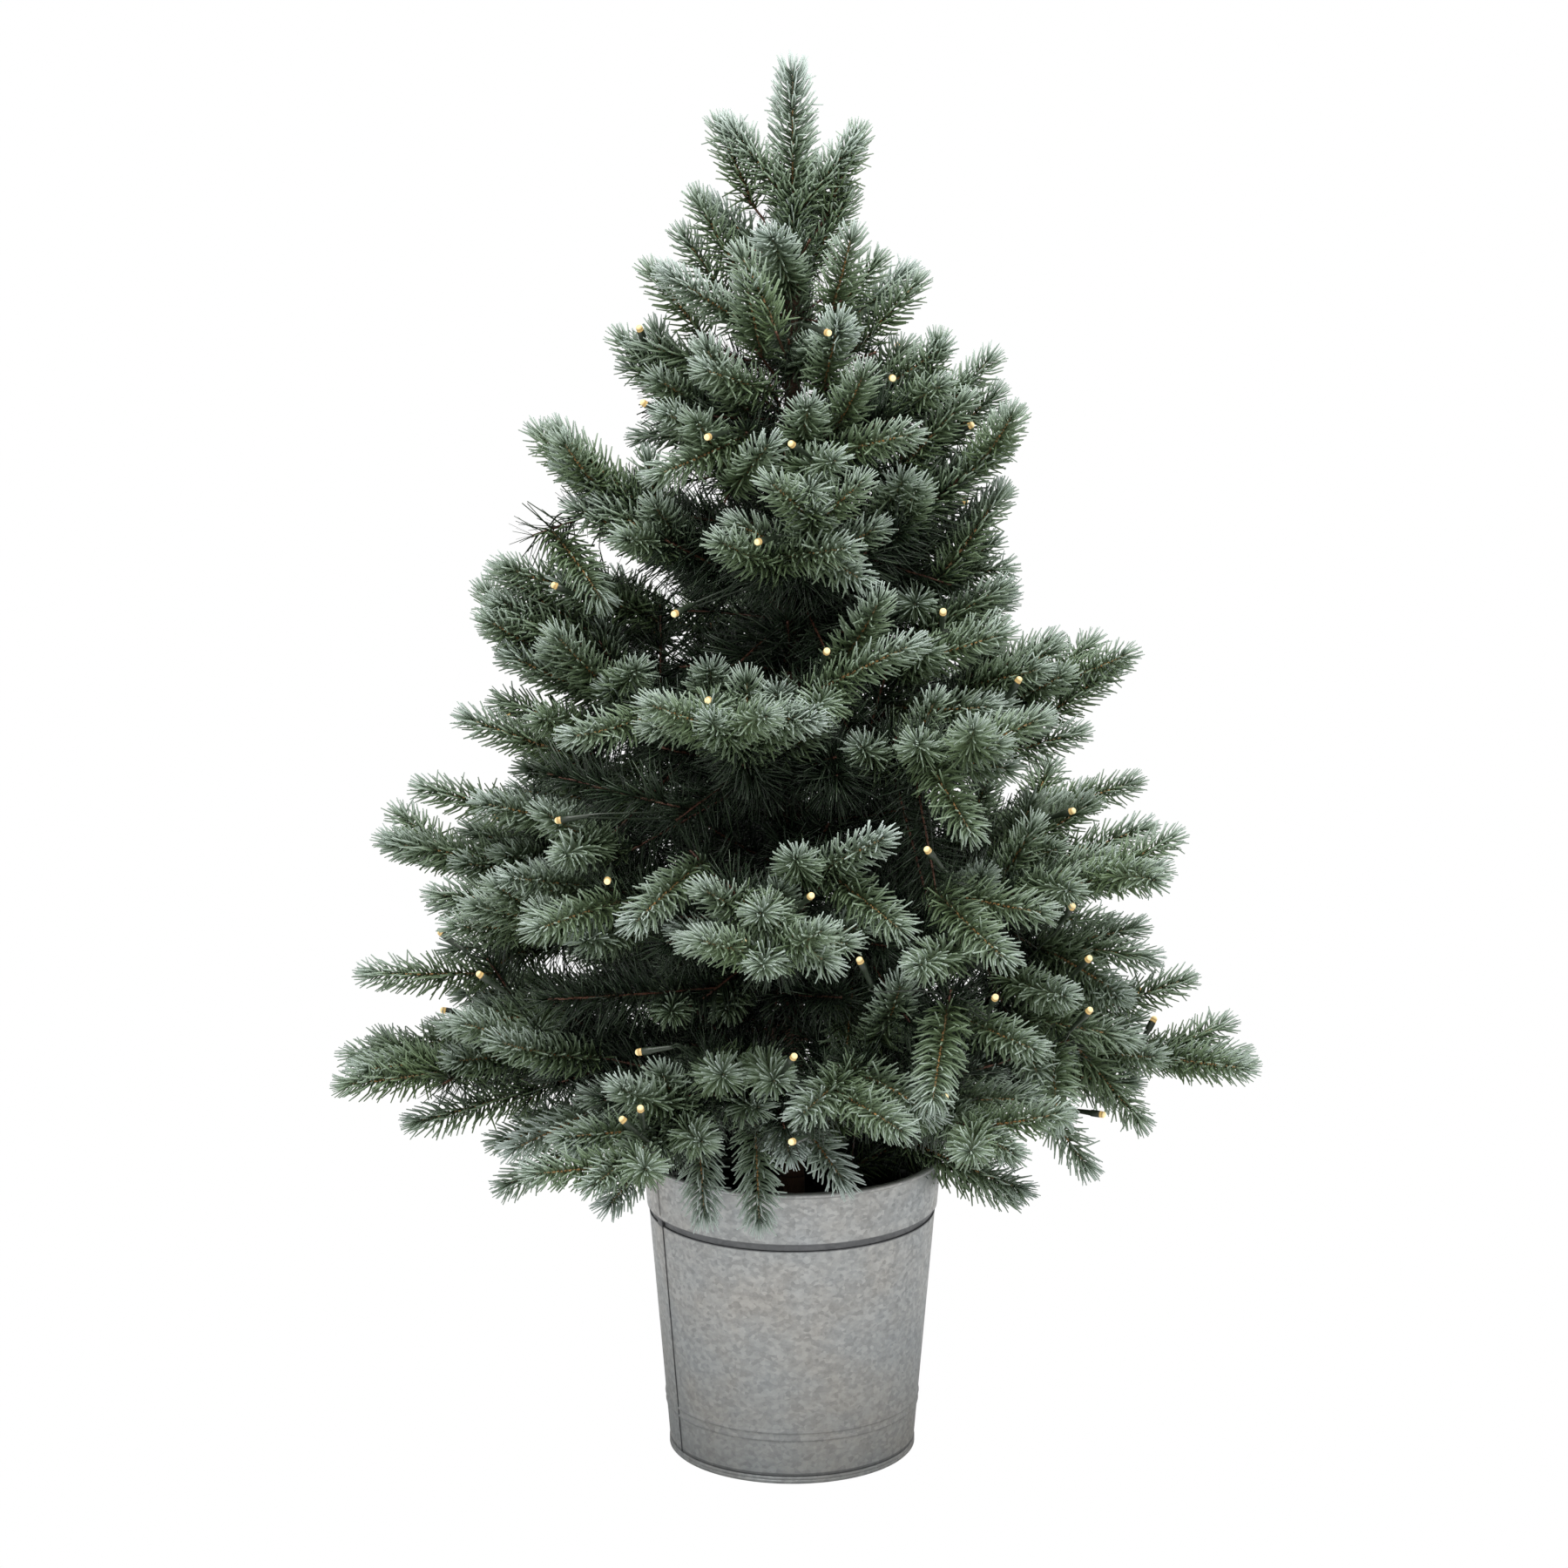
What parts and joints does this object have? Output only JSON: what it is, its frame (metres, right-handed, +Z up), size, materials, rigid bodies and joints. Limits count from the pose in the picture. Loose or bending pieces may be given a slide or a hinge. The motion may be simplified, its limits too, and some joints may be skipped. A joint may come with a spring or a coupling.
{
  "type": "artificial tabletop tree",
  "caption": "Frosted artificial fir on a wrapped trunk, weighted in a tapered galvanised bucket, with wire-cored branches that bend at the trunk and a hidden battery box for its lamps.",
  "frame": {"origin": "on the floor, on the trunk's axis, under the middle of the bucket", "axes": "+Z up along the trunk to the tip, -Y the front, +X to the right seen from the front"},
  "size_m": [0.5897, 0.5463, 0.9],
  "materials": {
    "galvanised_steel": "satin",
    "black_plastic": "matte",
    "cement": "matte",
    "brown_tape": "matte",
    "frosted_needles": "matte",
    "core_wire": "satin",
    "green_wire": "satin",
    "green_plastic": "satin",
    "nickel": "polished",
    "cell_sleeve": "gloss"
  },
  "bodies": {
    "stand": {"bucket_wall": "galvanised_steel", "bucket_base": "galvanised_steel", "cement_pot": "black_plastic", "cement_weight": "cement", "trunk": "brown_tape", "leader": "frosted_needles", "lamp_lead": "green_wire", "battery_case": "green_plastic", "cell_left": "cell_sleeve", "cell_middle": "cell_sleeve", "cell_right": "cell_sleeve", "contacts_low": "nickel", "contacts_high": "nickel"},
    "battery_cover": {"battery_cover": "green_plastic"},
    "switch": {"switch_slider": "black_plastic"},
    "branch_11": {"branch_11_wire": "core_wire", "branch_11_foliage": "frosted_needles"},
    "branch_12": {"branch_12_wire": "core_wire", "branch_12_foliage": "frosted_needles"},
    "branch_13": {"branch_13_wire": "core_wire", "branch_13_foliage": "frosted_needles"},
    "branch_14": {"branch_14_wire": "core_wire", "branch_14_foliage": "frosted_needles"},
    "branch_15": {"branch_15_wire": "core_wire", "branch_15_foliage": "frosted_needles"},
    "branch_16": {"branch_16_wire": "core_wire", "branch_16_foliage": "frosted_needles"},
    "branch_21": {"branch_21_wire": "core_wire", "branch_21_foliage": "frosted_needles"},
    "branch_22": {"branch_22_wire": "core_wire", "branch_22_foliage": "frosted_needles"},
    "branch_23": {"branch_23_wire": "core_wire", "branch_23_foliage": "frosted_needles"},
    "branch_24": {"branch_24_wire": "core_wire", "branch_24_foliage": "frosted_needles"},
    "branch_25": {"branch_25_wire": "core_wire", "branch_25_foliage": "frosted_needles"},
    "branch_31": {"branch_31_wire": "core_wire", "branch_31_foliage": "frosted_needles"},
    "branch_32": {"branch_32_wire": "core_wire", "branch_32_foliage": "frosted_needles"},
    "branch_33": {"branch_33_wire": "core_wire", "branch_33_foliage": "frosted_needles"},
    "branch_34": {"branch_34_wire": "core_wire", "branch_34_foliage": "frosted_needles"},
    "branch_35": {"branch_35_wire": "core_wire", "branch_35_foliage": "frosted_needles"},
    "branch_41": {"branch_41_wire": "core_wire", "branch_41_foliage": "frosted_needles"},
    "branch_42": {"branch_42_wire": "core_wire", "branch_42_foliage": "frosted_needles"},
    "branch_43": {"branch_43_wire": "core_wire", "branch_43_foliage": "frosted_needles"},
    "branch_44": {"branch_44_wire": "core_wire", "branch_44_foliage": "frosted_needles"},
    "branch_51": {"branch_51_wire": "core_wire", "branch_51_foliage": "frosted_needles"},
    "branch_52": {"branch_52_wire": "core_wire", "branch_52_foliage": "frosted_needles"}
  },
  "joints": [
    {"name": "battery_cover_slide", "type": "slide", "parent": "stand", "child": "battery_cover", "axis": [0, 0, 1], "range_m": [0, 0.058]},
    {"name": "switch_slide", "type": "slide", "parent": "stand", "child": "switch", "axis": [1, 0, 0], "range_m": [0, 0.004]},
    {"name": "branch_11_bend", "type": "hinge", "parent": "stand", "child": "branch_11", "pos_m": [0.01317, -0.00092, 0.28], "axis": [-0.0698, -0.9976, 0], "range_deg": [-10, 70], "deforming": ["branch_11_foliage"]},
    {"name": "branch_12_bend", "type": "hinge", "parent": "stand", "child": "branch_12", "pos_m": [0.0066, -0.01143, 0.28], "axis": [-0.866, -0.5, 0], "range_deg": [-10, 69], "deforming": ["branch_12_foliage"]},
    {"name": "branch_13_bend", "type": "hinge", "parent": "stand", "child": "branch_13", "pos_m": [-0.00599, -0.01176, 0.28], "axis": [-0.891, 0.454, 0], "range_deg": [-10, 74], "deforming": ["branch_13_foliage"]},
    {"name": "branch_14_bend", "type": "hinge", "parent": "stand", "child": "branch_14", "pos_m": [-0.01317, -0.00092, 0.28], "axis": [-0.0698, 0.9976, 0], "range_deg": [-10, 71], "deforming": ["branch_14_foliage"]},
    {"name": "branch_15_bend", "type": "hinge", "parent": "stand", "child": "branch_15", "pos_m": [-0.007, 0.0112, 0.28], "axis": [0.848, 0.5299, 0], "range_deg": [-10, 66], "deforming": ["branch_15_foliage"]},
    {"name": "branch_16_bend", "type": "hinge", "parent": "stand", "child": "branch_16", "pos_m": [0.0066, 0.01143, 0.28], "axis": [0.866, -0.5, 0], "range_deg": [-10, 64], "deforming": ["branch_16_foliage"]},
    {"name": "branch_21_bend", "type": "hinge", "parent": "stand", "child": "branch_21", "pos_m": [0.01168, -0.0052, 0.35006], "axis": [-0.4067, -0.9135, 0], "range_deg": [-15, 52], "deforming": ["branch_21_foliage"]},
    {"name": "branch_22_bend", "type": "hinge", "parent": "stand", "child": "branch_22", "pos_m": [-0.00089, -0.01276, 0.35006], "axis": [-0.9976, 0.0698, 0], "range_deg": [-15, 56], "deforming": ["branch_22_foliage"]},
    {"name": "branch_23_bend", "type": "hinge", "parent": "stand", "child": "branch_23", "pos_m": [-0.01259, 0.00222, 0.35006], "axis": [0.1736, 0.9848, 0], "range_deg": [-15, 57], "deforming": ["branch_23_foliage"]},
    {"name": "branch_24_bend", "type": "hinge", "parent": "stand", "child": "branch_24", "pos_m": [-0.00309, 0.01241, 0.35006], "axis": [0.9703, 0.2419, 0], "range_deg": [-15, 56], "deforming": ["branch_24_foliage"]},
    {"name": "branch_25_bend", "type": "hinge", "parent": "stand", "child": "branch_25", "pos_m": [0.01008, 0.00787, 0.35006], "axis": [0.6157, -0.788, 0], "range_deg": [-15, 54], "deforming": ["branch_25_foliage"]},
    {"name": "branch_31_bend", "type": "hinge", "parent": "stand", "child": "branch_31", "pos_m": [0.01216, 0.00128, 0.44492], "axis": [0.1045, -0.9945, 0], "range_deg": [-18, 42], "deforming": ["branch_31_foliage"]},
    {"name": "branch_32_bend", "type": "hinge", "parent": "stand", "child": "branch_32", "pos_m": [0.00753, -0.00963, 0.44492], "axis": [-0.788, -0.6157, 0], "range_deg": [-18, 46], "deforming": ["branch_32_foliage"]},
    {"name": "branch_33_bend", "type": "hinge", "parent": "stand", "child": "branch_33", "pos_m": [-0.00296, -0.01186, 0.44492], "axis": [-0.9703, 0.2419, 0], "range_deg": [-18, 40], "deforming": ["branch_33_foliage"]},
    {"name": "branch_34_bend", "type": "hinge", "parent": "stand", "child": "branch_34", "pos_m": [-0.01221, 0.00064, 0.44492], "axis": [0.0523, 0.9986, 0], "range_deg": [-18, 34], "deforming": ["branch_34_foliage"]},
    {"name": "branch_35_bend", "type": "hinge", "parent": "stand", "child": "branch_35", "pos_m": [-0.00107, 0.01218, 0.44492], "axis": [0.9962, 0.0872, 0], "range_deg": [-18, 40], "deforming": ["branch_35_foliage"]},
    {"name": "branch_41_bend", "type": "hinge", "parent": "stand", "child": "branch_41", "pos_m": [0.01129, -0.0024, 0.56024], "axis": [-0.2079, -0.9781, 0], "range_deg": [-25, 30], "deforming": ["branch_41_foliage"]},
    {"name": "branch_42_bend", "type": "hinge", "parent": "stand", "child": "branch_42", "pos_m": [-0.01151, -0.00081, 0.56024], "axis": [-0.0698, 0.9976, 0], "range_deg": [-25, 37], "deforming": ["branch_42_foliage"]},
    {"name": "branch_43_bend", "type": "hinge", "parent": "stand", "child": "branch_43", "pos_m": [0.00121, -0.01148, 0.56024], "axis": [-0.9945, -0.1045, 0], "range_deg": [-25, 36], "deforming": ["branch_43_foliage"]},
    {"name": "branch_44_bend", "type": "hinge", "parent": "stand", "child": "branch_44", "pos_m": [0.0004, 0.01154, 0.56024], "axis": [0.9994, -0.0349, 0], "range_deg": [-25, 34], "deforming": ["branch_44_foliage"]},
    {"name": "branch_51_bend", "type": "hinge", "parent": "stand", "child": "branch_51", "pos_m": [-0.01087, 0.00153, 0.6551], "axis": [0.1392, 0.9903, 0], "range_deg": [-25, 39], "deforming": ["branch_51_foliage"]},
    {"name": "branch_52_bend", "type": "hinge", "parent": "stand", "child": "branch_52", "pos_m": [0.01097, -0.00038, 0.6551], "axis": [-0.0349, -0.9994, 0], "range_deg": [-25, 44], "deforming": ["branch_52_foliage"]}
  ]
}
